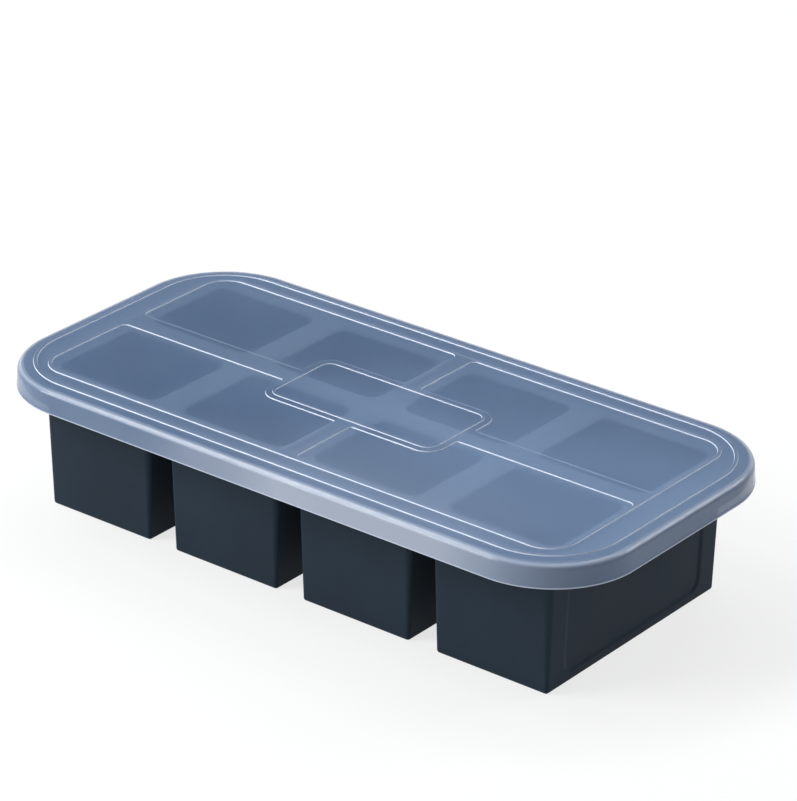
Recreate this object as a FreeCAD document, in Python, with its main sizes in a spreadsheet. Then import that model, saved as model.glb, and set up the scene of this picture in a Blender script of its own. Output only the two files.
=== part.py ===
"""Lidded freezer tray: a silicone tray of eight square cups, its rim wire and a snap-over lid.

Units are millimetres. The origin is the middle of the underside of the cups, +X runs
along the length, +Y across the width and +Z up.
"""
import FreeCAD, Part
import math
import os
import re
import Sketcher

Vector = FreeCAD.Vector

# Driving dimensions, in millimetres and degrees.
DIMENSIONS = {
    # cup blocks: each bar across the tray carries one cup per row
    "blocks_along": 4,
    "cup_rows": 2,
    "block_pitch": 60.0,
    "block_width": 48.0,
    "block_depth": 99.8,
    "block_round": 2.1,
    "block_draft": 1.8,
    "tray_height": 55.1,
    # cups: walls are measured at the rim, where the draft leaves them thinnest
    "side_wall": 2.3,
    "front_wall": 5.4,
    "divider": 11.0,
    "cup_floor": 3.0,
    "cup_draft": 2.0,
    "cup_corner": 4.4,
    "cup_floor_bevel": 1.6,
    "cup_mouth_bevel": 0.9,
    # fill line on one wall of each cup
    "mark_below_rim": 9.0,
    "mark_length": 16.0,
    "mark_height": 0.8,
    "mark_relief": 0.5,
    # bare recessed panel on one end
    "panel_width": 80.0,
    "panel_height": 42.0,
    "panel_above_base": 4.0,
    "panel_corner": 5.0,
    "panel_recess": 0.5,
    # rim: a thin flange with a thicker bead that holds the wire
    "rim_past_end": 19.0,
    "rim_past_side": 14.55,
    "rim_corner": 33.2,
    "flange_thickness": 3.0,
    "rim_bead_width": 7.4,
    "rim_bead_depth": 6.8,
    "rim_top_bevel": 0.9,
    "rim_under_bevel": 1.6,
    # flat wire in the rim bead, and the channel moulded round it
    "wire_width": 3.6,
    "wire_thickness": 1.6,
    "wire_inset": 2.0,
    "wire_below_top": 2.6,
    "wire_fit": 0.05,
    "window_diameter": 2.4,
    "window_pitch": 120.0,
    # lid shell
    "lid_plate": 1.2,
    "lid_wall": 1.1,
    "lid_clearance": 0.5,
    "lid_depth": 9.2,
    "lid_shoulder_round": 2.4,
    "lid_crown_inset": 2.9,
    "lid_crown_run": 2.6,
    "lid_crown_drop": 0.35,
    "lid_crown_step": 0.15,
    "lip_flare": 0.4,
    "lip_height": 1.0,
    # raised lines on the lid
    "line_height": 0.4,
    "line_width": 1.4,
    "ring_inset": 6.4,
    "frame_inset_end": 16.5,
    "frame_inset_side": 13.75,
    "frame_corner": 11.8,
    "bar_across": 7.2,
    "bar_along": 10.6,
    "pocket_corner": 2.5,
    "label_length": 74.6,
    "label_width": 34.8,
    "label_corner": 4.8,
    "label_margin": 2.6,
    "label_bead_width": 1.0,
    "label_bead_height": 0.3,
}

# Lengths that follow from them, written as formulas on the same names.
BLOCK_REACH = "((blocks_along - 1) / 2 * block_pitch + block_width / 2)"
DRAFT_SPREAD = "(tray_height * tan(block_draft))"
CUP_WIDTH = f"(block_width + 2 * {DRAFT_SPREAD} - 2 * side_wall)"
CUP_LENGTH = f"((block_depth + 2 * {DRAFT_SPREAD} - 2 * front_wall - (cup_rows - 1) * divider) / cup_rows)"
ROW_PITCH = f"({CUP_LENGTH} + divider)"
FIRST_BLOCK_X = "(-(blocks_along - 1) / 2 * block_pitch)"
FIRST_ROW_Y = f"(-(cup_rows - 1) / 2 * {ROW_PITCH})"
RIM_X = f"({BLOCK_REACH} + rim_past_end)"
RIM_Y = "(block_depth / 2 + rim_past_side)"
LID_GROWTH = "(lid_clearance + lid_wall + lip_flare)"
LIP_X = f"({RIM_X} + {LID_GROWTH})"
LIP_Y = f"({RIM_Y} + {LID_GROWTH})"
LIP_CORNER = f"(rim_corner + {LID_GROWTH})"
LID_TOP = "(tray_height + lid_plate)"
LIP_BASE = f"({LID_TOP} - lid_depth)"

doc = FreeCAD.newDocument("FreezerTray")
sheet = doc.addObject("Spreadsheet::Sheet", "Dim")
for row, (name, number) in enumerate(DIMENSIONS.items(), start=1):
    sheet.set(f"A{row}", name)
    sheet.set(f"B{row}", str(number))
    sheet.setAlias(f"B{row}", name)
doc.recompute()


def formula(text):
    """Point each dimension's name in a formula at its cell of the sheet."""
    return re.sub(r"[a-z_]+", lambda word: f"Dim.{word[0]}" if word[0] in DIMENSIONS else word[0], text)


def number(text):
    """The present value of a formula, for the first placing of sketch geometry."""
    result = sheet.evalExpression(formula(text))
    return float(getattr(result, "Value", result))


def plane(body, role):
    """One of the body's own origin planes or axes, found by its role."""
    return next(item for item in body.Origin.OriginFeatures if item.Role == role)


def new_body(label):
    body = doc.addObject("PartDesign::Body", label)
    body.Label = label
    return body


def new_sketch(body, name, role, offset="0"):
    """A sketch on an origin plane, moved along that plane's normal by a formula."""
    sketch = body.newObject("Sketcher::SketchObject", name)
    sketch.AttachmentSupport = [(plane(body, role), "")]
    sketch.MapMode = "FlatFace"
    sketch.setExpression(".AttachmentOffset.Base.z", formula(offset))
    return sketch


def pin(sketch, kind, geometry, point, text):
    """Bind one coordinate of a sketch point, or a radius, to a formula."""
    if kind == "Radius":
        constraint = Sketcher.Constraint(kind, geometry, number(text))
    else:
        constraint = Sketcher.Constraint(kind, geometry, point, number(text))
    index = sketch.addConstraint(constraint)
    sketch.setExpression(f"Constraints[{index}]", formula(text))


def rounded_outline(sketch, corners):
    """A closed outline through corner points (x, y, radius), anticlockwise, each corner rounded."""
    points = [Vector(number(x), number(y), 0) for x, y, _ in corners]
    radii = [number(radius) for _, _, radius in corners]
    count = len(corners)
    arcs = []
    for i, centre_radius in enumerate(radii):
        to_last = (points[i - 1] - points[i]).normalize()
        to_next = (points[(i + 1) % count] - points[i]).normalize()
        half_angle = to_last.getAngle(to_next) / 2
        run = centre_radius / math.tan(half_angle)
        bisector = (to_last + to_next).normalize()
        centre = points[i] + bisector * (centre_radius / math.sin(half_angle))
        arcs.append((points[i] + to_last * run, points[i] + to_next * run, centre))
    lines = []
    for i in range(count):
        line = Part.LineSegment(arcs[i][1], arcs[(i + 1) % count][0])
        lines.append(sketch.addGeometry(line, False))
    for i, (start, end, centre) in enumerate(arcs):
        first = math.atan2(start.y - centre.y, start.x - centre.x)
        last = math.atan2(end.y - centre.y, end.x - centre.x)
        circle = Part.Circle(centre, Vector(0, 0, 1), radii[i])
        arc = sketch.addGeometry(Part.ArcOfCircle(circle, first, last), False)
        sketch.addConstraint(Sketcher.Constraint("Tangent", lines[i - 1], 2, arc, 1))
        sketch.addConstraint(Sketcher.Constraint("Tangent", arc, 2, lines[i], 1))
        corner = sketch.addGeometry(Part.Point(points[i]), True)
        sketch.addConstraint(Sketcher.Constraint("PointOnObject", corner, 1, lines[i - 1]))
        sketch.addConstraint(Sketcher.Constraint("PointOnObject", corner, 1, lines[i]))
        pin(sketch, "DistanceX", corner, 1, corners[i][0])
        pin(sketch, "DistanceY", corner, 1, corners[i][1])
        pin(sketch, "Radius", arc, 0, corners[i][2])


def rounded_box(sketch, half_x, half_y, radius, x="0", y="0"):
    """A rounded rectangle about (x, y), given by formulas for its half sizes and corner radius."""
    signs = ((1, -1), (1, 1), (-1, 1), (-1, -1))
    rounded_outline(sketch, [(f"{x} + {sx} * {half_x}", f"{y} + {sy} * {half_y}", radius) for sx, sy in signs])


def sharp_box(sketch, half_x, half_y, x="0", y="0"):
    """A plain rectangle about (x, y), given by formulas for its half sizes."""
    signs = ((1, -1), (1, 1), (-1, 1), (-1, -1))
    corners = [(f"{x} + {sx} * {half_x}", f"{y} + {sy} * {half_y}") for sx, sy in signs]
    points = [Vector(number(px), number(py), 0) for px, py in corners]
    lines = [sketch.addGeometry(Part.LineSegment(points[i], points[(i + 1) % 4]), False) for i in range(4)]
    for i, (px, py) in enumerate(corners):
        sketch.addConstraint(Sketcher.Constraint("Coincident", lines[i - 1], 2, lines[i], 1))
        pin(sketch, "DistanceX", lines[i], 1, px)
        pin(sketch, "DistanceY", lines[i], 1, py)


def circle_at(sketch, x, y, radius):
    circle = sketch.addGeometry(Part.Circle(Vector(number(x), number(y), 0), Vector(0, 0, 1), number(radius)), False)
    pin(sketch, "DistanceX", circle, 3, x)
    pin(sketch, "DistanceY", circle, 3, y)
    pin(sketch, "Radius", circle, 0, radius)


def extrude(body, kind, name, sketch, length, downward=False):
    """Pad or pocket a sketch by a formula, up or down, and prove that it changed the solid."""
    before = body.Shape.Volume if body.Tip else 0.0
    feature = body.newObject(f"PartDesign::{kind}", name)
    feature.Profile = sketch
    feature.Reversed = downward if kind == "Pad" else not downward
    feature.setExpression("Length", formula(length))
    doc.recompute()
    change = body.Shape.Volume - before
    if (kind == "Pad" and change <= 0) or (kind == "Pocket" and change >= 0):
        raise RuntimeError(f"{name} changed the volume by {change:.1f}")
    return feature


def repeat(body, feature, name, along, spacing, count, across=None):
    """Repeat a feature along one origin axis, and across a second one where that is given."""
    pattern = body.newObject("PartDesign::LinearPattern", name)
    pattern.Originals = [feature]
    pattern.Direction = (plane(body, along), [""])
    pattern.Mode = "Spacing"
    pattern.setExpression("Offset", formula(spacing))
    pattern.setExpression("Occurrences", formula(count))
    if across:
        axis, second_spacing, second_count = across
        pattern.Direction2 = (plane(body, axis), [""])
        pattern.Mode2 = "Spacing"
        pattern.setExpression("Offset2", formula(second_spacing))
        pattern.setExpression("Occurrences2", formula(second_count))
        # -1 leaves each copy at the even spacing
        pattern.Spacings2 = [-1.0] * (round(number(second_count)) - 1)
    body.Tip = pattern
    doc.recompute()
    return pattern


def dress(body, kind, name, radius, keep):
    """Fillet or chamfer every edge of the body's present solid that the test picks."""
    base = body.Tip
    picked = [f"Edge{i}" for i, edge in enumerate(base.Shape.Edges, start=1) if keep(edge)]
    feature = body.newObject(f"PartDesign::{kind}", name)
    feature.Base = (base, picked)
    feature.setExpression("Radius" if kind == "Fillet" else "Size", formula(radius))
    body.Tip = feature
    doc.recompute()
    return feature


def draft_walls(body, name, angle, keep):
    """Lean the upright walls that the test picks, by an angle about their line in the base plane.

    A positive angle takes material away as the wall rises, and a negative one adds it.
    """
    base = body.Tip
    picked = [f"Face{i}" for i, face in enumerate(base.Shape.Faces, start=1) if keep(face)]
    feature = body.newObject("PartDesign::Draft", name)
    feature.Base = (base, picked)
    feature.NeutralPlane = (plane(body, "XY_Plane"), [""])
    feature.setExpression("Angle", formula(angle))
    body.Tip = feature
    doc.recompute()
    return feature


def flat_at(edge, height, tolerance=0.01):
    """True for an edge that lies in the horizontal plane at this height."""
    box = edge.BoundBox
    return abs(box.ZMin - height) < tolerance and abs(box.ZMax - height) < tolerance


def reaches(item, low, high, tolerance=0.01):
    """True for an edge or face that runs exactly from one height to another."""
    box = item.BoundBox
    return abs(box.ZMin - low) < tolerance and abs(box.ZMax - high) < tolerance


def inside(edge, half_x, half_y):
    """True for an edge that stays within a rectangle about the origin."""
    box = edge.BoundBox
    return max(abs(box.XMin), abs(box.XMax)) < half_x and max(abs(box.YMin), abs(box.YMax)) < half_y


def make_silicone_tray():
    """The one-piece silicone moulding: flange and rim bead, four blocks and their eight cups."""
    body = new_body("silicone_tray")

    sketch = new_sketch(body, "RimOutline", "XY_Plane", "tray_height")
    rounded_box(sketch, RIM_X, RIM_Y, "rim_corner")
    extrude(body, "Pad", "RimSlab", sketch, "rim_bead_depth", downward=True)

    bead_base = "(tray_height - rim_bead_depth)"
    sketch = new_sketch(body, "FlangeUndersideOutline", "XY_Plane", bead_base)
    inner_x = f"({RIM_X} - rim_bead_width)"
    inner_y = f"({RIM_Y} - rim_bead_width)"
    rounded_box(sketch, inner_x, inner_y, "(rim_corner - rim_bead_width)")
    extrude(body, "Pocket", "FlangeUnderside", sketch, "rim_bead_depth - flange_thickness")

    sketch = new_sketch(body, "BlockOutline", "XY_Plane")
    sharp_box(sketch, "(block_width / 2)", "(block_depth / 2)", x=FIRST_BLOCK_X)
    block = extrude(body, "Pad", "Block", sketch, "tray_height - flange_thickness")
    repeat(body, block, "Blocks", "X_Axis", "block_pitch", "blocks_along")
    flange_height = number("tray_height - flange_thickness")
    draft_walls(body, "BlockDraft", "-block_draft", lambda face: reaches(face, 0, flange_height))
    dress(body, "Fillet", "BlockRound", "block_round",
          lambda edge: flat_at(edge, 0) or reaches(edge, 0, flange_height))

    half_width = f"({CUP_WIDTH} / 2 - tray_height * tan(cup_draft))"
    half_length = f"({CUP_LENGTH} / 2 - tray_height * tan(cup_draft))"
    sketch = new_sketch(body, "CupOutline", "XY_Plane", "tray_height")
    sharp_box(sketch, half_width, half_length, x=FIRST_BLOCK_X, y=FIRST_ROW_Y)
    cup = extrude(body, "Pocket", "Cup", sketch, "tray_height - cup_floor", downward=True)
    repeat(body, cup, "Cups", "X_Axis", "block_pitch", "blocks_along", across=("Y_Axis", ROW_PITCH, "cup_rows"))
    floor_height = number("cup_floor")
    rim_height = number("tray_height")
    draft_walls(body, "CupDraft", "cup_draft", lambda face: reaches(face, floor_height, rim_height))
    dress(body, "Fillet", "CupCorners", "cup_corner", lambda edge: reaches(edge, floor_height, rim_height))
    dress(body, "Chamfer", "CupFloorBevel", "cup_floor_bevel", lambda edge: flat_at(edge, floor_height))
    mouth_x = number(inner_x)
    mouth_y = number(inner_y)
    dress(body, "Chamfer", "CupMouthBevel", "cup_mouth_bevel",
          lambda edge: flat_at(edge, rim_height) and inside(edge, mouth_x, mouth_y))
    dress(body, "Chamfer", "RimTopBevel", "rim_top_bevel",
          lambda edge: flat_at(edge, rim_height) and not inside(edge, mouth_x, mouth_y))
    bead_height = number(bead_base)
    dress(body, "Chamfer", "RimUnderBevel", "rim_under_bevel",
          lambda edge: flat_at(edge, bead_height) and not inside(edge, mouth_x + 1, mouth_y + 1))

    mark_base = "(tray_height - mark_below_rim)"
    wall_x = f"({FIRST_BLOCK_X} - {CUP_WIDTH} / 2 + mark_below_rim * tan(cup_draft))"
    sketch = new_sketch(body, "FillMarkOutline", "XY_Plane", mark_base)
    sharp_box(sketch, "mark_relief", "(mark_length / 2)", x=wall_x, y=FIRST_ROW_Y)
    mark = extrude(body, "Pad", "FillMark", sketch, "mark_height")
    repeat(body, mark, "FillMarks", "X_Axis", "block_pitch", "blocks_along", across=("Y_Axis", ROW_PITCH, "cup_rows"))

    # The panel's sketch leans with the drafted end face.
    sketch = new_sketch(body, "PanelOutline", "YZ_Plane", BLOCK_REACH)
    lean = FreeCAD.Rotation(Vector(1, 0, 0), number("block_draft"))
    sketch.AttachmentOffset = FreeCAD.Placement(Vector(0, 0, 0), lean)
    sketch.setExpression(".AttachmentOffset.Rotation.Angle", formula("block_draft"))
    rounded_box(sketch, "(panel_width / 2)", "(panel_height / 2)", "panel_corner",
                y="(panel_above_base + panel_height / 2)")
    extrude(body, "Pocket", "EndPanel", sketch, "panel_recess", downward=True)

    add_wire_channel(body)
    return body


def wire_outline(body, name, gap, top):
    """The wire's band seen from above, grown on all sides by a gap, in a plane at its top."""
    sketch = new_sketch(body, name, "XY_Plane", top)
    for inset in (f"(wire_inset - {gap})", f"(wire_inset + wire_width + {gap})"):
        rounded_box(sketch, f"({RIM_X} - {inset})", f"({RIM_Y} - {inset})", f"(rim_corner - {inset})")
    return sketch


def add_wire_channel(body):
    """The channel that the silicone leaves round the wire, and the windows of the pins that held it."""
    top = "(tray_height - wire_below_top + wire_fit)"
    sketch = wire_outline(body, "ChannelOutline", "wire_fit", top)
    extrude(body, "Pocket", "WireChannel", sketch, "wire_thickness + 2 * wire_fit", downward=True)

    bead_base = "(tray_height - rim_bead_depth)"
    depth = "(rim_bead_depth - wire_below_top - wire_thickness / 2)"
    side_y = f"({RIM_Y} - wire_inset - wire_width / 2)"
    sketch = new_sketch(body, "SideWindowOutline", "XY_Plane", bead_base)
    circle_at(sketch, "(-window_pitch / 2)", f"(-{side_y})", "(window_diameter / 2)")
    window = extrude(body, "Pocket", "SideWindow", sketch, depth)
    repeat(body, window, "SideWindows", "X_Axis", "window_pitch", "2", across=("Y_Axis", f"2 * {side_y}", "2"))
    end_x = f"({RIM_X} - wire_inset - wire_width / 2)"
    sketch = new_sketch(body, "EndWindowOutline", "XY_Plane", bead_base)
    circle_at(sketch, f"(-{end_x})", "0", "(window_diameter / 2)")
    window = extrude(body, "Pocket", "EndWindow", sketch, depth)
    repeat(body, window, "EndWindows", "X_Axis", f"2 * {end_x}", "2")


def make_rim_wire():
    """The closed loop of flat stainless wire inside the rim bead."""
    body = new_body("rim_wire")
    sketch = wire_outline(body, "WireOutline", "0", "(tray_height - wire_below_top)")
    extrude(body, "Pad", "Wire", sketch, "wire_thickness", downward=True)
    return body


def make_lid():
    """The moulded lid: crowned top, rounded shoulder, drafted skirt, flared lip and raised lines."""
    body = new_body("lid")
    skirt_x = f"({LIP_X} - lip_flare)"
    skirt_y = f"({LIP_Y} - lip_flare)"
    skirt_corner = f"({LIP_CORNER} - lip_flare)"
    shoulder_top = f"({LID_TOP} - lid_crown_drop - lid_crown_step)"

    sketch = new_sketch(body, "SkirtOutline", "XY_Plane", LIP_BASE)
    rounded_box(sketch, skirt_x, skirt_y, skirt_corner)
    extrude(body, "Pad", "Skirt", sketch, f"{shoulder_top} - {LIP_BASE}")
    shoulder_height = number(shoulder_top)
    dress(body, "Fillet", "Shoulder", "lid_shoulder_round", lambda edge: flat_at(edge, shoulder_height))

    sketch = new_sketch(body, "LipOutline", "XY_Plane", LIP_BASE)
    rounded_box(sketch, LIP_X, LIP_Y, LIP_CORNER)
    extrude(body, "Pad", "Lip", sketch, "lip_height")

    sketch = new_sketch(body, "CrownOutline", "XY_Plane", LID_TOP)
    rounded_box(sketch, f"({LIP_X} - lid_crown_inset)", f"({LIP_Y} - lid_crown_inset)",
                f"({LIP_CORNER} - lid_crown_inset)")
    extrude(body, "Pad", "Crown", sketch, "lid_crown_drop + lid_crown_step + lid_plate / 2", downward=True)
    top_height = number(LID_TOP)
    crown = dress(body, "Chamfer", "CrownFall", "lid_crown_drop", lambda edge: flat_at(edge, top_height))
    crown.ChamferType = "Two distances"
    crown.setExpression("Size2", formula("lid_crown_run"))
    doc.recompute()

    sketch = new_sketch(body, "HollowOutline", "XY_Plane", LIP_BASE)
    rounded_box(sketch, f"({RIM_X} + lid_clearance)", f"({RIM_Y} + lid_clearance)", "(rim_corner + lid_clearance)")
    extrude(body, "Pocket", "Hollow", sketch, "lid_depth - lid_plate")
    under_height = number(f"{LID_TOP} - lid_plate")
    dress(body, "Chamfer", "HollowBevel", "(lid_shoulder_round - lid_wall) / 2",
          lambda edge: flat_at(edge, under_height))

    sketch = new_sketch(body, "RingOutline", "XY_Plane", LID_TOP)
    for inset in ("ring_inset", "(ring_inset + line_width)"):
        rounded_box(sketch, f"({LIP_X} - {inset})", f"({LIP_Y} - {inset})", f"({LIP_CORNER} - {inset})")
    extrude(body, "Pad", "Ring", sketch, "line_height")

    frame_x = f"({LIP_X} - frame_inset_end)"
    frame_y = f"({LIP_Y} - frame_inset_side)"
    sketch = new_sketch(body, "FrameOutline", "XY_Plane", LID_TOP)
    rounded_box(sketch, frame_x, frame_y, "frame_corner")
    far_x = f"({frame_x} - line_width)"
    far_y = f"({frame_y} - line_width)"
    for sx, sy in ((1, 1), (-1, 1), (-1, -1), (1, -1)):
        corners = [
            (f"{sx} * bar_across / 2", f"{sy} * bar_along / 2", "pocket_corner"),
            (f"{sx} * {far_x}", f"{sy} * bar_along / 2", "pocket_corner"),
            (f"{sx} * {far_x}", f"{sy} * {far_y}", "(frame_corner - line_width)"),
            (f"{sx} * bar_across / 2", f"{sy} * {far_y}", "pocket_corner"),
        ]
        rounded_outline(sketch, corners if sx * sy > 0 else corners[::-1])
    extrude(body, "Pad", "Frame", sketch, "line_height")

    sketch = new_sketch(body, "LabelPlateOutline", "XY_Plane", LID_TOP)
    rounded_box(sketch, "(label_length / 2 + label_margin)", "(label_width / 2 + label_margin)",
                "(label_corner + label_margin)")
    extrude(body, "Pad", "LabelPlate", sketch, "line_height")
    sketch = new_sketch(body, "LabelBeadOutline", "XY_Plane", f"({LID_TOP} + line_height)")
    for inset in ("0", "label_bead_width"):
        rounded_box(sketch, f"(label_length / 2 - {inset})", f"(label_width / 2 - {inset})",
                    f"(label_corner - {inset})")
    extrude(body, "Pad", "LabelBead", sketch, "label_bead_height")
    return body


bodies = [make_silicone_tray(), make_rim_wire(), make_lid()]
doc.recompute()

for item in doc.Objects:
    if {"Invalid", "Error"} & set(item.State):
        raise RuntimeError(f"{item.Label} is {item.State}")
for body in bodies:
    if body.Shape.isNull() or not body.Shape.isValid():
        raise RuntimeError(f"{body.Label} has no valid shape")

os.makedirs("parts", exist_ok=True)
for body in bodies:
    body.Shape.exportStep(f"parts/{body.Label}.step")
    box = body.Shape.BoundBox
    print(f"{body.Label}: {body.Shape.Volume / 1000:.1f} cm3, {len(body.Shape.Solids)} solid(s), "
          f"{box.XLength:.1f} x {box.YLength:.1f} x {box.ZLength:.1f} mm, z {box.ZMin:.1f} to {box.ZMax:.1f}")
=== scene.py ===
# %% [markdown]
# # A lidded freezer tray
#
# The object is a dark silicone tray with eight deep square cups, four blocks of two, and a
# translucent blue polypropylene lid that snaps over its rim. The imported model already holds
# every solid at its true place and size. This lesson gives those solids the small roundings
# and the finishes that the eye reads as silicone and as moulded plastic.

import math

import bmesh
import bpy
import numpy as np
from mathutils import Matrix, Vector
from mathutils.geometry import delaunay_2d_cdt


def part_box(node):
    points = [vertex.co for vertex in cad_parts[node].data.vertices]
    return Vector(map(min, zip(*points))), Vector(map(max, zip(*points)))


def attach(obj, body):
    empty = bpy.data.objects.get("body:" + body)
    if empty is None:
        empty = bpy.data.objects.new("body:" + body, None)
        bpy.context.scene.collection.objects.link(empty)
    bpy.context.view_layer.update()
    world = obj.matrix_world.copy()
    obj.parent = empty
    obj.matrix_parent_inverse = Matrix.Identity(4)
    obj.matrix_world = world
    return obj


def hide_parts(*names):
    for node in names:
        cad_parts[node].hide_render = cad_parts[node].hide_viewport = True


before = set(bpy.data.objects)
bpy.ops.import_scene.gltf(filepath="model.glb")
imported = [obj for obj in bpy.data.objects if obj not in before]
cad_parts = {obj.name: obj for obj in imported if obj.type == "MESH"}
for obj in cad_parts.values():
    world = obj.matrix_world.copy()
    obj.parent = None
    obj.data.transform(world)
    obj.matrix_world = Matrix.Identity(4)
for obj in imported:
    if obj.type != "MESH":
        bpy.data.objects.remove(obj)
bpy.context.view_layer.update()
print("nodes:", sorted(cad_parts))

# %% [markdown]
# ## Sizes
#
# The sizes are kept in millimetres, as on a drawing, and turned to metres only when a mesh is
# made. The three nodes' boxes give the rim, the lid and the heights, so the finished pieces
# stay on the solids. The rest are the walls, drafts and roundings of the mouldings.

# %% Read the main sizes from the solids
MM = 0.001


def node_box(name):
    """A node's lowest and highest corners, in millimetres."""
    low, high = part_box(name)
    return np.array(low) / MM, np.array(high) / MM


_, tray_high = node_box("silicone_tray")
lid_low, lid_high = node_box("lid")
rim_half = tray_high[:2]
rim_top = tray_high[2]
lip_half = lid_high[:2]
lip_base = lid_low[2]
print("rim half sizes", rim_half.round(2), "rim top", round(float(rim_top), 2))
print("lid half sizes", lip_half.round(2), "lip base", round(float(lip_base), 2))

# %% [markdown]
# ## The camera
#
# The photograph was taken from in front of the right-hand corner, about 25 degrees above the
# surface, from far enough away that its verticals nearly agree. A long lens at about one and a
# half metres gives the same view.

# %% Place the camera
azimuth, elevation, roll = np.radians([38.190, 25.583, 0.530])
distance, slide_right, slide_up = 1480.149, 7.364, 1.527
aim_height = 56.7
back = np.array([math.sin(azimuth) * math.cos(elevation), -math.cos(azimuth) * math.cos(elevation),
                 math.sin(elevation)])
right = np.array([math.cos(azimuth), math.sin(azimuth), 0.0])
up = np.cross(back, right)
camera_right = right * math.cos(roll) + up * math.sin(roll)
camera_up = -right * math.sin(roll) + up * math.cos(roll)
place = back * distance + right * slide_right + up * slide_up + np.array([0, 0, aim_height])

lens = bpy.data.cameras.new("camera")
lens.sensor_width = 36.0
focal_pixels, longer_side_pixels = 4128.616, 801
lens.lens = focal_pixels / longer_side_pixels * lens.sensor_width
lens.clip_end = 20.0
camera = bpy.data.objects.new("camera", lens)
turned = np.column_stack([camera_right, camera_up, back])
camera.matrix_world = Matrix([[*row, offset * MM] for row, offset in zip(turned, place)] + [[0, 0, 0, 1]])
bpy.context.scene.collection.objects.link(camera)
bpy.context.scene.camera = camera
print("camera at", (place * MM).round(3), "lens", round(lens.lens, 1), "mm")

# %% [markdown]
# ## Colour and nodes
#
# Colours are written as they are picked on a screen, so one function turns them into the
# linear values that light is added up in. One more function adds a shader node with its
# settings and its links, which is all that the materials below need.

# %% Colour and node helpers
def linear(hex_colour):
    """A screen colour such as "#2f3a45" as linear red, green, blue and a full alpha."""
    parts = [int(hex_colour[i:i + 2], 16) / 255 for i in (1, 3, 5)]
    return [c / 12.92 if c <= 0.04045 else ((c + 0.055) / 1.055) ** 2.4 for c in parts] + [1.0]


def add_node(tree, kind, inputs=None, **settings):
    """Add a node, set its properties, then give each input a value or another node's output."""
    made = tree.nodes.new(kind)
    for key, value in settings.items():
        setattr(made, key, value)
    for key, value in (inputs or {}).items():
        if isinstance(value, bpy.types.NodeSocket):
            tree.links.new(value, made.inputs[key])
        else:
            made.inputs[key].default_value = value
    return made


def new_material(name):
    """A material with an empty node tree, and its tree."""
    material = bpy.data.materials.new(name)
    material.use_nodes = True
    material.node_tree.nodes.clear()
    return material, material.node_tree

# %% [markdown]
# ## The studio
#
# The object stands on a pale floor in a pale room. What looks past the object, mirrors the room
# or scatters through the lid sees plain white, so the background stays white while the room's
# own light stays weak. Four soft lamps do the lighting. A strip overhead and a smaller one at
# the left stand where the lid's rounded front shoulder mirrors them, a large one at the left
# front lights the front faces, and one at the right back reaches the end face.

# %% Room light
def looked_at(tree):
    """One where a ray is the camera's, a reflection's or a see-through surface's, and zero elsewhere."""
    ray = add_node(tree, "ShaderNodeLightPath")
    either = add_node(tree, "ShaderNodeMath", {
        0: ray.outputs["Is Camera Ray"],
        1: ray.outputs["Is Glossy Ray"],
    }, operation="MAXIMUM")
    return add_node(tree, "ShaderNodeMath", {
        0: either.outputs[0],
        1: ray.outputs["Is Transmission Ray"],
    }, operation="MAXIMUM").outputs[0]


world = bpy.data.worlds.new("studio room")
bpy.context.scene.world = world
world.use_nodes = True
tree = world.node_tree
tree.nodes.clear()
soft = add_node(tree, "ShaderNodeBackground", {"Color": linear("#e8eef6"), "Strength": 0.15})
white = add_node(tree, "ShaderNodeBackground", {"Color": [1, 1, 1, 1], "Strength": 1.0})
mixed = add_node(tree, "ShaderNodeMixShader", {0: looked_at(tree), 1: soft.outputs[0], 2: white.outputs[0]})
add_node(tree, "ShaderNodeOutputWorld", {"Surface": mixed.outputs[0]})

# %% Floor
floor_half = 3.0
glow_share = 0.75
corner_signs = ((-1, -1), (1, -1), (1, 1), (-1, 1))
floor_mesh = bpy.data.meshes.new("floor")
floor_corners = [(sx * floor_half, sy * floor_half, 0) for sx, sy in corner_signs]
floor_mesh.from_pydata(floor_corners, [], [(0, 1, 2, 3)])
floor = bpy.data.objects.new("floor", floor_mesh)
bpy.context.scene.collection.objects.link(floor)
material, tree = new_material("white laminate floor")
paper = add_node(tree, "ShaderNodeBsdfPrincipled", {"Base Color": linear("#f4f5f6"), "Roughness": 0.7})
glow = add_node(tree, "ShaderNodeEmission", {"Color": [1, 1, 1, 1], "Strength": 1.0})
share = add_node(tree, "ShaderNodeMath", {0: looked_at(tree), 1: glow_share}, operation="MULTIPLY")
mixed = add_node(tree, "ShaderNodeMixShader", {0: share.outputs[0], 1: paper.outputs[0], 2: glow.outputs[0]})
add_node(tree, "ShaderNodeOutputMaterial", {"Surface": mixed.outputs[0]})
floor.data.materials.append(material)

# %% Lamps
lit_point = (0.0, 0.0, 0.03)


def soft_lamp(name, position, size, power):
    """A rectangular lamp at a position in metres, turned towards the object."""
    lamp = bpy.data.lights.new(name, "AREA")
    lamp.shape = "RECTANGLE"
    lamp.size, lamp.size_y = size
    lamp.energy = power
    holder = bpy.data.objects.new(name, lamp)
    holder.location = position
    holder.rotation_euler = (Vector(lit_point) - Vector(position)).to_track_quat("-Z", "Y").to_euler()
    bpy.context.scene.collection.objects.link(holder)


soft_lamp("overhead strip softbox", (-0.39, 0.60, 1.32), (1.6, 0.32), 8)
soft_lamp("left strip softbox", (-0.84, -0.22, 1.26), (0.5, 0.4), 6)
soft_lamp("left front softbox", (-0.84, -0.90, 0.86), (0.8, 0.8), 18)
soft_lamp("right back softbox", (0.60, 1.05, 0.85), (0.7, 0.5), 6)

# %% [markdown]
# ## Outlines and profiles
#
# Every wall here follows a closed outline with rounded corners: the lip, the rim, a cup, a
# raised line. Such a wall could be cut from a block and bevelled, but a bevel gives no say
# over its section. Instead an outline is kept as points with outward normals, and a section is
# carried round it: a section point (inset, height) puts a ring of vertices at
# point - inset * normal, at that height. A drafted wall is then two points of one section.

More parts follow.
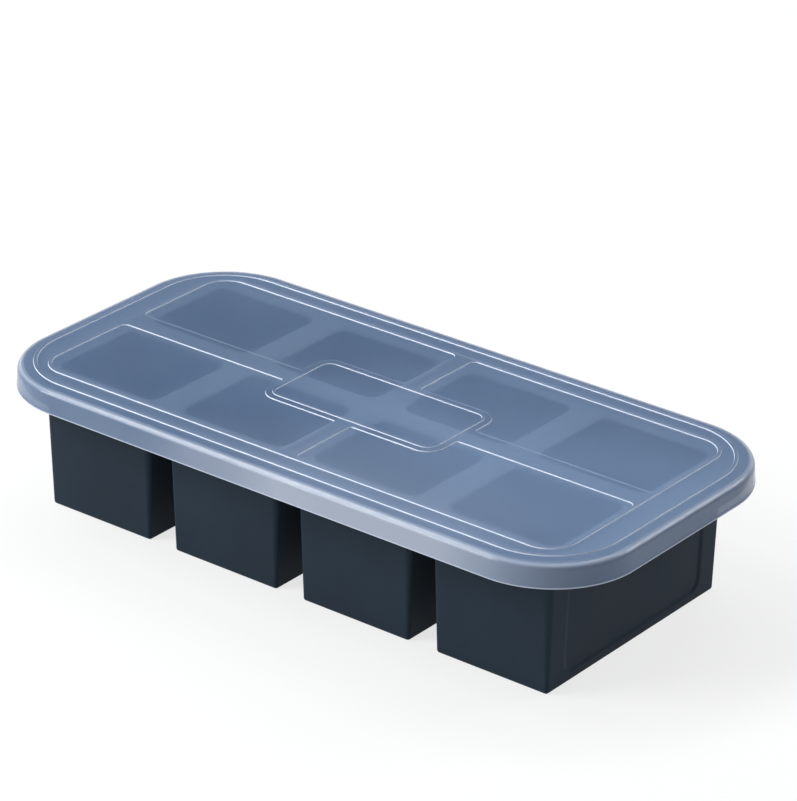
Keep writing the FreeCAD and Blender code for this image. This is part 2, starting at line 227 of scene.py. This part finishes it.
# %% Outlines as points and normals
def outline(corners, arc_steps=12, side_steps=1):
    """Points and outward normals of a closed outline, anticlockwise, through rounded corners.

    corners holds (x, y, radius). At each corner the arc's centre stands off both sides by the
    radius, and the normal turns evenly from one side's normal to the next one's. A corner that
    turns the other way bends round a centre outside the outline.
    """
    xy = np.array([c[:2] for c in corners], float)
    radius = np.array([c[2] for c in corners], float)
    along = np.roll(xy, -1, 0) - xy
    along /= np.linalg.norm(along, axis=1)[:, None]
    after = np.column_stack([along[:, 1], -along[:, 0]])
    before = np.roll(after, 1, 0)
    turn = np.arctan2(before[:, 0] * after[:, 1] - before[:, 1] * after[:, 0], (before * after).sum(1))
    sign = np.sign(turn)
    centre = xy - (sign * radius / (1 + (before * after).sum(1)))[:, None] * (before + after)
    swept = turn[:, None] * np.linspace(0, 1, arc_steps + 1)
    angle = np.arctan2(before[:, 1], before[:, 0])[:, None] + swept
    normal = np.stack([np.cos(angle), np.sin(angle)], 2)
    arc = centre[:, None] + (sign * radius)[:, None, None] * normal
    share = np.linspace(0, 1, side_steps + 1)[1:-1, None]
    side = arc[:, -1][:, None] * (1 - share) + np.roll(arc[:, 0], -1, 0)[:, None] * share
    side_normal = np.repeat(after[:, None], side.shape[1], 1)
    points = np.concatenate([arc, side], 1).reshape(-1, 2)
    normals = np.concatenate([normal, side_normal], 1).reshape(-1, 2)
    return points, normals


def rounded_box(half, radius, centre=(0, 0), **steps):
    """The outline of a rounded rectangle with these half sizes about a centre."""
    signs = ((1, -1), (1, 1), (-1, 1), (-1, -1))
    corners = [(centre[0] + sx * half[0], centre[1] + sy * half[1], radius) for sx, sy in signs]
    return outline(corners, **steps)


def bend(start, corner, end, steps=6):
    """Section points that leave start towards corner and arrive at end: a quadratic curve."""
    t = np.linspace(0, 1, steps + 1)[:, None]
    start, corner, end = (np.array(p, float) for p in (start, corner, end))
    return (1 - t) ** 2 * start + 2 * t * (1 - t) * corner + t ** 2 * end


# %% How steep a section is
flat_until = 0.3


def steepness(section):
    """How upright a section is at each of its points: 0 on the flat, 1 on an upright side.

    The two sides that meet at the point give their heights over their lengths. Their mean counts
    as flat up to flat_until and as upright from twice that.
    """
    side = np.diff(section, axis=0)
    upright = np.abs(side[:, 1]) / np.maximum(np.linalg.norm(side, axis=1), 1e-9)
    around = (np.concatenate([[0], upright]) + np.concatenate([upright, [0]])) / 2
    return np.clip((around - flat_until) / flat_until, 0, 1)


# %% [markdown]
# ## One closed mesh
#
# A moulding is walls and flats. The walls are carried sections. The flats between their end
# rings could be one many-sided face each, but such a face with holes in it isn't allowed, so
# they are triangulated. The triangulation keeps every point of every ring, also along straight
# sides, so that walls and flats share all their edges and the welded mesh is closed.

# %% Which places a ring encloses
def encloses(ring, places):
    """Whether each place lies inside a ring: a ray along x crosses the ring an odd number of times."""
    (ax, ay), (bx, by) = ring[:, :2].T, np.roll(ring[:, :2], -1, 0).T
    x, y = places[:, :1], places[:, 1:]
    spans = (ay > y) != (by > y)
    crossing = ax + (bx - ax) * (y - ay) / np.where(by == ay, 1.0, by - ay)
    return (spans & (x < crossing)).sum(1) % 2 == 1


# %% Walls and flats, welded
triangles_inside_edges = 1
merge_distance = 1e-5
weld_distance = 2e-6


class Moulding:
    """Collects walls and flats, in millimetres, and welds them into one closed mesh."""

    def __init__(self):
        self.points = []
        self.faces = []
        self.slots = []
        self.painted_pales = []
        self.count = 0
        self.slot = 0

    def add(self, points, faces, painted_pales=None):
        """Take in points and the faces that join them, in the present material slot."""
        self.points.append(points)
        self.faces += (faces + self.count).tolist()
        self.slots += [self.slot] * len(faces)
        self.painted_pales.append(np.zeros(len(points)) if painted_pales is None else painted_pales)
        self.count += len(points)

    def carry(self, shape, section, adjust=None, painted_pale=None):
        """Carry section points (inset, height) round an outline, and return the first and last rings.

        pale gives the section's points a value from 0 to 1 that the material reads as "pale", a painted
        highlight.
        """
        points, normals = shape
        section = np.asarray(section, float)
        plan = points[None] - section[:, 0, None, None] * normals[None]
        height = np.broadcast_to(section[:, 1, None, None], plan.shape[:2] + (1,))
        grid = np.concatenate([plan, height], 2)
        if adjust:
            grid = adjust(grid)
        rows, columns = grid.shape[:2]
        index = np.arange(rows * columns).reshape(rows, columns)
        across = np.roll(index, -1, 1)
        faces = np.stack([index[:-1], across[:-1], across[1:], index[1:]], 2).reshape(-1, 4)
        self.add(grid.reshape(-1, 3), faces, None if painted_pale is None else np.repeat(painted_pale, columns))
        return grid[0], grid[-1]

    def fill(self, outer, holes=(), upward=True):
        """Close the flat between an outer ring and any rings inside it.

        Of the triangles between all the rings' edges, those stay whose middle lies inside the
        outer ring and outside every hole.
        """
        rings = [outer, *holes]
        edges = []
        for ring in rings:
            first, count = len(edges), len(ring)
            edges += [(first + i, first + (i + 1) % count) for i in range(count)]
        flat = [Vector(p) for p in np.concatenate(rings)[:, :2]]
        spots, _, triangles, *_ = delaunay_2d_cdt(
            flat, edges, [], triangles_inside_edges, merge_distance, False)
        spots = np.array([tuple(p) for p in spots])
        triangles = np.array(triangles)
        middles = spots[triangles].mean(1)
        kept = encloses(outer, middles)
        for hole in holes:
            kept &= ~encloses(hole, middles)
        points = np.column_stack([spots, np.full(len(spots), outer[0, 2])])
        self.add(points, triangles[kept] if upward else triangles[kept][:, ::-1])

    def make(self, name):
        """The welded mesh as an object at the origin."""
        mesh = bpy.data.meshes.new(name)
        mesh.from_pydata((np.concatenate(self.points) * MM).tolist(), [], self.faces)
        mesh.polygons.foreach_set("material_index", self.slots)
        # The pale value of each point is a painted highlight, which the lid's material reads.
        mesh.attributes.new("painted_pale", "FLOAT", "POINT").data.foreach_set("value", np.concatenate(self.painted_pales))
        shaper = bmesh.new()
        shaper.from_mesh(mesh)
        bmesh.ops.remove_doubles(shaper, verts=shaper.verts, dist=weld_distance)
        open_edges = sum(not edge.is_manifold for edge in shaper.edges)
        shaper.to_mesh(mesh)
        shaper.free()
        mesh.shade_smooth()
        made = bpy.data.objects.new(name, mesh)
        bpy.context.scene.collection.objects.link(made)
        weighting = made.modifiers.new("large flats keep their shading", "WEIGHTED_NORMAL")
        weighting.weight = 80
        print(name, len(mesh.vertices), "vertices", len(mesh.polygons), "faces", open_edges, "open edges")
        return made

# %% [markdown]
# ## The lid
#
# The lid is one injection moulding with a wall a little over a millimetre thick. From the lip
# up, its section is a flared lip, a skirt that leans in for release from the mould, a rounded
# shoulder, a fine crease and a gently crowned border. Inside the border a raised line runs
# round, and a second raised frame holds four shallow pockets and a bare label plate. The
# outside is one section carried round one outline, and the inside is another. Sharp bends get
# a pale value, which is a painted highlight: the lamps glinting on the raised lines, the lip
# and the shoulder, painted as a paler, less see-through colour.

# %% Lid sizes
lid_plate = 1.2
plate_top = rim_top + lid_plate
lip_corner = 35.2
lid_wall_inset = 1.5
lid_shape = rounded_box(lip_half, lip_corner, arc_steps=40, side_steps=4)
line_width, line_height = 1.4, 0.4
ring_inset = 6.4
shoulder_radius, shoulder_inset = 2.4, 2.8
shoulder_top = plate_top - 0.50
contact_gap = 0.08
print("lid plate from", round(float(rim_top), 2), "to", round(float(plate_top), 2), "mm")


def raised_line(start, width, base, height, soften=0.22):
    """Section of a raised line: up one softened side, across and down the other."""
    top = base + height
    half_way = (start + 0.03, base + height / 2)
    rise = np.concatenate([
        [(start - 0.18, base)],
        bend((start - 0.10, base), (start, base), half_way, 3),
        bend(half_way, (start + 0.06, top), (start + soften, top), 4)[1:],
        [(start + soften + 0.08, top)],
    ])
    fall = np.column_stack([2 * start + width - rise[::-1, 0], rise[::-1, 1]])
    return np.concatenate([rise, fall])


# %% Lid sections
# The underside stands a contact gap over the rim. In one plane with it, the two faces would
# fight over which is drawn.
underside = rim_top + contact_gap
inner_section = np.concatenate([
    [(2.9, underside)],
    bend((2.8, underside), (lid_wall_inset, underside), (lid_wall_inset, rim_top - 1.3)),
    [(lid_wall_inset, lip_base + 0.3)],
])
lip = np.concatenate([
    bend((lid_wall_inset, lip_base + 0.2), (lid_wall_inset, lip_base), (lid_wall_inset - 0.2, lip_base), 3),
    bend((0.45, lip_base), (0.0, lip_base), (0.0, lip_base + 0.42)),
    bend((0.02, lip_base + 0.75), (0.12, lip_base + 1.1), (0.20, lip_base + 1.7)),
])
shoulder_angle = np.linspace(0, math.pi / 2, 14)
shoulder = np.concatenate([
    [(0.28, lip_base + 3.5), (0.38, shoulder_top - 2.7)],
    np.column_stack([shoulder_inset - shoulder_radius * np.cos(shoulder_angle),
                     shoulder_top - shoulder_radius + shoulder_radius * np.sin(shoulder_angle)]),
])
crown = np.concatenate([
    [(2.86, shoulder_top + 0.13)],
    bend((2.92, shoulder_top + 0.16), (4.3, plate_top), (5.7, plate_top), 8),
])
ring_line = raised_line(ring_inset, line_width, plate_top, line_height)
outer_section = np.concatenate([inner_section[-1:], lip, shoulder, crown, ring_line])
print("lid section:", len(inner_section), "points inside and", len(outer_section), "outside")

# %% Where the section is pale: painted highlights
painted_pale_at_bends = 0.6
band_below_top, band_width = 0.35, 0.45
section_inset, section_height = outer_section.T
on_ring = section_inset > ring_inset - 0.4
on_lip = section_height < lip_base + 0.5
before_crease = section_inset < 2.85
# Pale values are painted highlights: on the steep sides of the raised ring, along the lip, and in a band
# just under the shoulder's top, where the shoulder mirrors the lamps.
painted_shoulder_band = np.exp(-((section_height - shoulder_top + band_below_top) / band_width) ** 2)
outer_painted_pale = steepness(outer_section) * on_ring + painted_pale_at_bends * (on_lip + painted_shoulder_band * before_crease)
print("pale values up to", round(float(outer_painted_pale.max()), 2))

# %% Frame, pockets and label plate
frame_half = lip_half - np.array([16.5, 13.75])
frame_corner = 11.8
frame_shape = rounded_box(frame_half, frame_corner, arc_steps=14)
label_half = np.array([37.3, 17.4])
label_corner = 4.8
label_margin = 2.6
label_line_width, label_line_height = 1.0, 0.3
bar_half = np.array([3.6, 5.3])
pocket_corner, notch_corner = 2.5, 0.8


def pocket_outline(sx, sy):
    """One pocket: a rounded rectangle whose inner corner steps round the label plate."""
    far = frame_half - line_width
    plate = label_half + label_margin
    corners = [
        (far[0], bar_half[1], pocket_corner),
        (far[0], far[1], frame_corner - line_width),
        (bar_half[0], far[1], pocket_corner),
        (bar_half[0], plate[1], notch_corner),
        (plate[0], plate[1], label_corner + label_margin),
        (plate[0], bar_half[1], notch_corner),
    ]
    placed = [(sx * x, sy * y, r) for x, y, r in corners]
    return outline(placed if sx * sy > 0 else placed[::-1], arc_steps=10)


raised_top = plate_top + line_height
one_line = raised_line(0, 2, plate_top, line_height)
rise = one_line[:len(one_line) // 2]
drop = np.column_stack([-rise[::-1, 0], rise[::-1, 1]])
print("pockets are", (frame_half - line_width - bar_half).round(1), "mm")

# %% Put the lid together
outer_slot, inner_slot = 0, 1
lid_moulding = Moulding()
lid_moulding.slot = inner_slot
under_ring, _ = lid_moulding.carry(lid_shape, inner_section)
lid_moulding.fill(under_ring, upward=False)
lid_moulding.slot = outer_slot
_, border_ring = lid_moulding.carry(lid_shape, outer_section, painted_pale=outer_painted_pale)
# The steep sides of the frame, the pockets and the label line are pale as well: painted highlights.
frame_foot, frame_edge = lid_moulding.carry(frame_shape, rise, painted_pale=steepness(rise))
lid_moulding.fill(border_ring, [frame_foot])
pocket_edges = []
for sx, sy in ((1, 1), (-1, 1), (-1, -1), (1, -1)):
    pocket_edge, pocket_floor = lid_moulding.carry(pocket_outline(sx, sy), drop, painted_pale=steepness(drop))
    lid_moulding.fill(pocket_floor)
    pocket_edges.append(pocket_edge)
label_line = raised_line(0, label_line_width, raised_top, label_line_height, soften=0.2)
label_shape = rounded_box(label_half, label_corner, arc_steps=10)
label_foot, label_floor = lid_moulding.carry(label_shape, label_line, painted_pale=steepness(label_line))
lid_moulding.fill(frame_edge, [*pocket_edges, label_foot])
lid_moulding.fill(label_floor)
lid = lid_moulding.make("lid_moulding")
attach(lid, "lid")
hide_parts("lid")

# %% [markdown]
# ## The tray
#
# The tray is one silicone moulding. A cup could be modelled once and copied, but the flange
# joins all eight, so they are sections in one mesh: the rim's bead, four drafted blocks under
# the flange, and eight drafted cups that open through it. The draft is what lets silicone
# leave its mould, and it narrows the gaps between the blocks towards the top.

# %% Tray sizes
block_pitch, block_count = 60.0, 4
block_half = np.array([24.0, 49.9])
block_draft, cup_draft = np.tan(np.radians([1.8, 2.0]))
flange_base = rim_top - 3.0
bead_base = rim_top - 6.8
spread = rim_top * block_draft
side_wall, end_wall, half_middle_wall = 2.3, 5.4, 5.5
cup_half = np.array([block_half[0] + spread - side_wall,
                     (block_half[1] + spread - end_wall - half_middle_wall) / 2])
row_y = cup_half[1] + half_middle_wall
block_x = (np.arange(block_count) - (block_count - 1) / 2) * block_pitch
cup_floor = 3.0
print("cup at the rim", (2 * cup_half).round(2), "rows at", round(float(row_y), 2), "blocks at", block_x)

# %% Rim and flange
rim_corner = 33.2
bead_width = 7.4
inner_fillet, outer_rounding, top_rounding = 0.8, 2.4, 1.3
tray_moulding = Moulding()
rim_shape = rounded_box(rim_half, rim_corner, arc_steps=32)
bead_inside = np.concatenate([
    bend((bead_width + inner_fillet, flange_base), (bead_width, flange_base),
         (bead_width, flange_base - inner_fillet), 4),
    bend((bead_width, bead_base + inner_fillet), (bead_width, bead_base),
         (bead_width - inner_fillet, bead_base), 4),
])
bead_outside = np.concatenate([
    bend((outer_rounding, bead_base), (0, bead_base), (0, bead_base + outer_rounding), 8),
    bend((0, rim_top - top_rounding), (0, rim_top), (top_rounding, rim_top), 6),
])
flange_ring, bead_inner_ring = tray_moulding.carry(rim_shape, bead_inside)
bead_outer_ring, top_ring = tray_moulding.carry(rim_shape, bead_outside)

# %% [markdown]
# ## Windows under the bead
#
# Pins hold the stiffening wire while the silicone is moulded round it, and each pin leaves a
# small round window. A boolean would leave rough triangles in the bead, so each window is a
# section carried round a reversed circle, whose wall faces inwards. It ends just inside the
# wire, so the wire's underside is what shows at its end.

# %% Windows
half_wire_width = 1.8
window_radius = 1.2


def circle(centre, radius, steps=20):
    """Points and outward normals of a circle."""
    angle = np.arange(steps) * 2 * math.pi / steps
    normals = np.column_stack([np.cos(angle), np.sin(angle)])
    return np.array(centre) + radius * normals, normals


wire_low, wire_high = node_box("rim_wire")
wire_run = wire_high[:2] - half_wire_width
window_places = [(sx * block_pitch, sy * wire_run[1]) for sx in (-1, 1) for sy in (-1, 1)]
window_places += [(sx * wire_run[0], 0.0) for sx in (-1, 1)]
window_section = [
    (-0.12, bead_base),
    (-0.035, bead_base + 0.035),
    (0, bead_base + 0.12),
    (0, wire_low[2] + 0.05),
]
window_mouths = []
for centre in window_places:
    points, normals = circle(centre, window_radius)
    mouth, ceiling = tray_moulding.carry((points[::-1], normals[::-1]), window_section)
    tray_moulding.fill(ceiling, upward=False)
    window_mouths.append(mouth)
tray_moulding.fill(bead_outer_ring, [bead_inner_ring, *window_mouths], upward=False)
print("windows:", len(window_mouths), "the wire's underside is at", round(float(wire_low[2]), 2))

# %% [markdown]
# ## Blocks
#
# Each block holds two cups. Its wall could be a plain drafted box, but the end that shows has a
# bare panel set in by half a millimetre. A finer grid on that block lets the wall itself carry
# the panel, so there is no seam round it.

# %% Blocks
block_corner = 1.3
foot_rounding, root_fillet = 1.2, 0.35
plain_levels, fine_levels, fine_side_steps = 3, 104, 140


def recessed_panel(grid):
    """Push a block's end face in over a bare panel with rounded corners, by half a millimetre.

    The signed distance to the panel's outline gives the depth: a smooth step from zero outside
    to the full recess inside.
    """
    panel_half, panel_corner, panel_middle = np.array([40.0, 21.0]), 5.0, 25.0
    recess, edge_width = 0.5, 0.9
    spot = np.abs(np.stack([grid[..., 1], grid[..., 2] - panel_middle], -1)) - panel_half + panel_corner
    gap = np.linalg.norm(np.maximum(spot, 0), axis=-1) + np.minimum(spot.max(-1), 0) - panel_corner
    step = np.clip(0.5 - gap / edge_width, 0, 1)
    on_end = grid[..., 0] > block_x[-1] + block_half[0] - 0.5
    grid[..., 0] -= recess * step * step * (3 - 2 * step) * on_end
    return grid


def block_section(levels):
    """Foot rounding, drafted wall, and the small fillet under the flange."""
    foot = bend((foot_rounding, 0), (0, 0), (-foot_rounding * block_draft, foot_rounding), 6)
    heights = np.linspace(foot_rounding, flange_base - 0.6, levels)[1:]
    wall = np.column_stack([-heights * block_draft, heights])
    reach = -flange_base * block_draft
    root = bend(wall[-1], (reach, flange_base), (reach - root_fillet, flange_base), 4)
    return np.concatenate([foot, wall, root[1:]])


block_roots = []
for x in block_x:
    with_panel = x == block_x[-1]
    side_steps = fine_side_steps if with_panel else 1
    levels = fine_levels if with_panel else plain_levels
    shape = rounded_box(block_half, block_corner, centre=(x, 0), arc_steps=8, side_steps=side_steps)
    adjust = recessed_panel if with_panel else None
    foot_ring, root_ring = tray_moulding.carry(shape, block_section(levels), adjust)
    tray_moulding.fill(foot_ring, upward=False)
    block_roots.append(root_ring)
tray_moulding.fill(flange_ring, block_roots, upward=False)
print("blocks:", len(block_roots))

# %% Cups
cup_corner = 4.4
mouth_rounding, floor_rounding = 1.2, 2.5
floor_inset = (rim_top - cup_floor) * cup_draft
cup_section = np.concatenate([
    bend((-mouth_rounding, rim_top), (0, rim_top),
         (mouth_rounding * cup_draft, rim_top - mouth_rounding), 6),
    bend((floor_inset - floor_rounding * cup_draft, cup_floor + floor_rounding), (floor_inset, cup_floor),
         (floor_inset + floor_rounding, cup_floor), 8),
])
cup_places = [(x, y) for x in block_x for y in (-row_y, row_y)]
mouth_rings = []
for centre in cup_places:
    shape = rounded_box(cup_half, cup_corner, centre=centre, arc_steps=10)
    mouth, floor_ring = tray_moulding.carry(shape, cup_section)
    tray_moulding.fill(floor_ring)
    mouth_rings.append(mouth)
tray_moulding.fill(top_ring, mouth_rings)
print("cups:", len(mouth_rings))

# %% [markdown]
# ## Fill lines
#
# A short raised line on one wall of each cup marks a full portion. It is a closed bar that
# stands half in the wall, so it needs no seam with the cup.

# %% Fill lines
mark_depth = 9.0
mark_base, mark_top = rim_top - mark_depth, rim_top - 8.2
mark_half = np.array([0.5, 8.0])
mark_corner, mark_rounding = 0.45, 0.3
mark_section = np.concatenate([
    bend((mark_rounding, mark_base), (0, mark_base), (0, mark_base + mark_rounding), 3),
    bend((0, mark_top - mark_rounding), (0, mark_top), (mark_rounding, mark_top), 3),
])
wall_inset = cup_half[0] - mark_depth * cup_draft
for x, y in cup_places:
    mark_shape = rounded_box(mark_half, mark_corner, centre=(x - wall_inset, y), arc_steps=4)
    under, over = tray_moulding.carry(mark_shape, mark_section)
    tray_moulding.fill(under, upward=False)
    tray_moulding.fill(over)
tray = tray_moulding.make("silicone_moulding")
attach(tray, "tray")
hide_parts("silicone_tray")

# %% [markdown]
# ## Silicone
#
# The tray is compression-moulded silicone. Its surface copies a sparked steel mould, so it is
# a fine matte grain with a soft sheen, and it never shines like plastic. The grain is about a
# third of a millimetre, and a slightly lighter bloom gathers unevenly over it. The top face is
# given a paler tone, which is painted light where the top catches the lamps, so that the ribs
# between the cups read through the lid.

# %% Compression-moulded silicone
grain_size, bloom_size = 0.35 * MM, 30 * MM
bloom_low, bloom_high = 0.3, 0.7
material, tree = new_material("compression-moulded silicone")
where = add_node(tree, "ShaderNodeTexCoord").outputs["Object"]
grain = add_node(tree, "ShaderNodeTexNoise", {"Vector": where, "Scale": 1 / grain_size, "Detail": 2.0})
bloom = add_node(tree, "ShaderNodeTexNoise", {
    "Vector": where,
    "Scale": 1 / bloom_size,
    "Detail": 4.0,
    "Roughness": 0.6,
})
tone = add_node(tree, "ShaderNodeValToRGB", {0: bloom.outputs["Fac"]})
for element, stop, shade in zip(tone.color_ramp.elements, (bloom_low, bloom_high), ("#202c37", "#26333f")):
    element.position = stop
    element.color = linear(shade)
level = add_node(tree, "ShaderNodeSeparateXYZ", {0: where})
# The top face is paler: painted light, where the top catches the lamps.
painted_light_on_top = add_node(tree, "ShaderNodeMapRange", {
    "Value": level.outputs["Z"],
    "From Min": (rim_top - 1.5) * MM,
    "From Max": (rim_top - 0.2) * MM,
})
colour = add_node(tree, "ShaderNodeMixRGB", {
    0: painted_light_on_top.outputs[0],
    1: tone.outputs[0],
    2: linear("#44505c"),
})
shine = add_node(tree, "ShaderNodeMapRange", {
    0: bloom.outputs["Fac"],
    "From Min": bloom_low,
    "From Max": bloom_high,
    "To Min": 0.52,
    "To Max": 0.62,
})
relief = add_node(tree, "ShaderNodeBump", {
    "Height": grain.outputs["Fac"],
    "Strength": 0.2,
    "Distance": 0.02 * MM,
})
surface = add_node(tree, "ShaderNodeBsdfPrincipled", {
    "Base Color": colour.outputs[0],
    "Roughness": shine.outputs[0],
    "Normal": relief.outputs[0],
    "IOR": 1.41,
    "Specular IOR Level": 0.15,
})
add_node(tree, "ShaderNodeOutputMaterial", {"Surface": surface.outputs[0]})
tray.data.materials.append(material)

# %% [markdown]
# ## Polypropylene
#
# The lid is injection-moulded polypropylene with a blue tint. It is milky: part of the light
# passes straight through and shows the cups, and the rest scatters and gives the lid its own
# grey-blue. Glass with a rough surface could do this, but a wall this thin is better served by
# a plain surface with a low Alpha, which lets the rest through unbent. A weak Translucent share
# is added to it. It spreads a little light as milky plastic does, and with it the denoiser takes
# the lid for a surface of its own. Without it the picture shows a false grain.
#
# The tint pales in two broad patches, one on the plate and one on the skirt. They are painted
# light and shade: their places and shades are matched to how unevenly pale the lid looks in
# the photograph, paler towards the right of the plate and the front of the skirt, where the
# lamps fall, and darker at the skirt's corner, and they stay on the lid when it moves.

# %% Where painted light pales the tint
# Each patch of painted light holds its deep and pale shades, where on the ramp the pale one is
# full, and its middle and reach along x and y in millimetres.
plate_painted_light = ("#386392", "#6b8ebb", 1.0, (95, -10), (170, 90))
skirt_painted_light = ("#607593", "#a5afc0", 0.95, (40, -66), (100, 60))
painted_light_reach_up = 60
deep_until = 0.28
cloud_size = 50 * MM
cloud_share = 0.5


def tint_with_painted_light(tree, where, cloud, painted_light):
    """The lid's own shade, paling towards the middle of a pool of painted light, with the cloud's unevenness
    over it.
    """
    deep, painted_pale, full, centre, reach = painted_light
    around = add_node(tree, "ShaderNodeMapping", {
        "Vector": where,
        "Location": [c * MM for c in (*centre, plate_top)],
        "Scale": [c * MM for c in (*reach, painted_light_reach_up)],
    }, vector_type="TEXTURE")
    painted_light_nearness = add_node(tree, "ShaderNodeTexGradient", {
        "Vector": around.outputs[0],
    }, gradient_type="SPHERICAL")
    amount = add_node(tree, "ShaderNodeMath", {
        0: cloud,
        1: cloud_share,
        2: painted_light_nearness.outputs["Fac"],
    }, operation="MULTIPLY_ADD")
    tint_and_painted_light = add_node(tree, "ShaderNodeValToRGB", {0: amount.outputs[0]})
    for element, stop, shade in zip(tint_and_painted_light.color_ramp.elements, (deep_until, full), (deep, painted_pale)):
        element.position = stop
        element.color = linear(shade)
    return tint_and_painted_light.outputs[0]


# %% Injection-moulded polypropylene
def polypropylene(name, cover, skirt_cover, polish, milkiness=0.0):
    """One face of the lid: its own scattered colour covers a share of what lies behind it.

    The share grows from cover to skirt_cover down the skirt, which is looked at along its wall.
    It is larger, and the colour is paler, where the pale value paints a highlight on the bends; the
    colour also pales in two pools of painted light. What isn't covered passes straight through, and
    milkiness times it is scattered through as well.
    """
    material, tree = new_material(name)
    where = add_node(tree, "ShaderNodeTexCoord").outputs["Object"]
    cloud = add_node(tree, "ShaderNodeTexNoise", {"Vector": where, "Scale": 1 / cloud_size, "Detail": 1.0})
    height = add_node(tree, "ShaderNodeSeparateXYZ", {0: where})
    down = add_node(tree, "ShaderNodeMapRange", {
        "Value": height.outputs["Z"],
        "From Min": (plate_top - 0.3) * MM,
        "From Max": (plate_top - 2.0) * MM,
    }, interpolation_type="SMOOTHSTEP")
    # Both tints pale in a pool of painted light and shade.
    plate_tint_with_painted_light = tint_with_painted_light(tree, where, cloud.outputs["Fac"], plate_painted_light)
    skirt_tint_with_painted_light = tint_with_painted_light(tree, where, cloud.outputs["Fac"], skirt_painted_light)
    sheet = add_node(tree, "ShaderNodeMixRGB", {0: down.outputs[0], 1: plate_tint_with_painted_light, 2: skirt_tint_with_painted_light})
    # The pale value is a painted highlight: it turns the colour towards #e3edff and makes the face less
    # see-through.
    painted_highlights = add_node(tree, "ShaderNodeAttribute", attribute_name="painted_pale")
    colour = add_node(tree, "ShaderNodeMixRGB", {
        0: painted_highlights.outputs["Fac"],
        1: sheet.outputs[0],
        2: linear("#e3edff"),
    })
    covers = add_node(tree, "ShaderNodeMapRange", {
        "Value": down.outputs[0],
        "To Min": cover,
        "To Max": skirt_cover,
    })
    share = add_node(tree, "ShaderNodeMath", {
        0: covers.outputs[0],
        1: painted_highlights.outputs["Fac"],
    }, operation="MAXIMUM")
    relief = add_node(tree, "ShaderNodeBump", {
        "Height": cloud.outputs["Fac"],
        "Strength": 1.0,
        "Distance": 0.8 * MM,
    })
    surface = add_node(tree, "ShaderNodeBsdfPrincipled", {
        "Base Color": colour.outputs[0],
        "Roughness": polish,
        "IOR": 1.49,
        "Normal": relief.outputs[0],
        "Alpha": share.outputs[0],
    })
    if milkiness:
        through = add_node(tree, "ShaderNodeMath", {
            0: share.outputs[0],
            1: -milkiness,
            2: milkiness,
        }, operation="MULTIPLY_ADD")
        milky = add_node(tree, "ShaderNodeBsdfTranslucent", {"Color": through.outputs[0]})
        surface = add_node(tree, "ShaderNodeAddShader", {0: surface.outputs[0], 1: milky.outputs[0]})
    add_node(tree, "ShaderNodeOutputMaterial", {"Surface": surface.outputs[0]})
    return material


outer_face = polypropylene("injection-moulded polypropylene", 0.33, 0.88, polish=0.16, milkiness=0.31)
inner_face = polypropylene("inner face of moulded polypropylene", 0.04, 0.5, polish=0.3)
for material in (outer_face, inner_face):
    lid.data.materials.append(material)
print("lid materials:", [material.name for material in lid.data.materials])

# %% [markdown]
# ## Stainless wire
#
# The rim's stiffener is flat rolled stainless wire. Rolling leaves fine lines along it and a
# satin shine. It sits inside the silicone, so only its finish is needed here.

# %% Rolled stainless wire
line_size = 0.4 * MM
material, tree = new_material("rolled stainless wire")
where = add_node(tree, "ShaderNodeTexCoord").outputs["Object"]
lines = add_node(tree, "ShaderNodeTexNoise", {"Vector": where, "Scale": 1 / line_size, "Detail": 3.0})
shine = add_node(tree, "ShaderNodeMapRange", {0: lines.outputs["Fac"], "To Min": 0.25, "To Max": 0.4})
surface = add_node(tree, "ShaderNodeBsdfPrincipled", {
    "Base Color": linear("#c4c2bd"),
    "Metallic": 1.0,
    "Roughness": shine.outputs[0],
})
add_node(tree, "ShaderNodeOutputMaterial", {"Surface": surface.outputs[0]})
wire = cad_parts["rim_wire"]
wire.data.materials.clear()
wire.data.materials.append(material)

# %% [markdown]
# ## Finish

# The finished look has to stay in the solids' box.

# %% Finish
bpy.context.scene.view_settings.view_transform = "Standard"
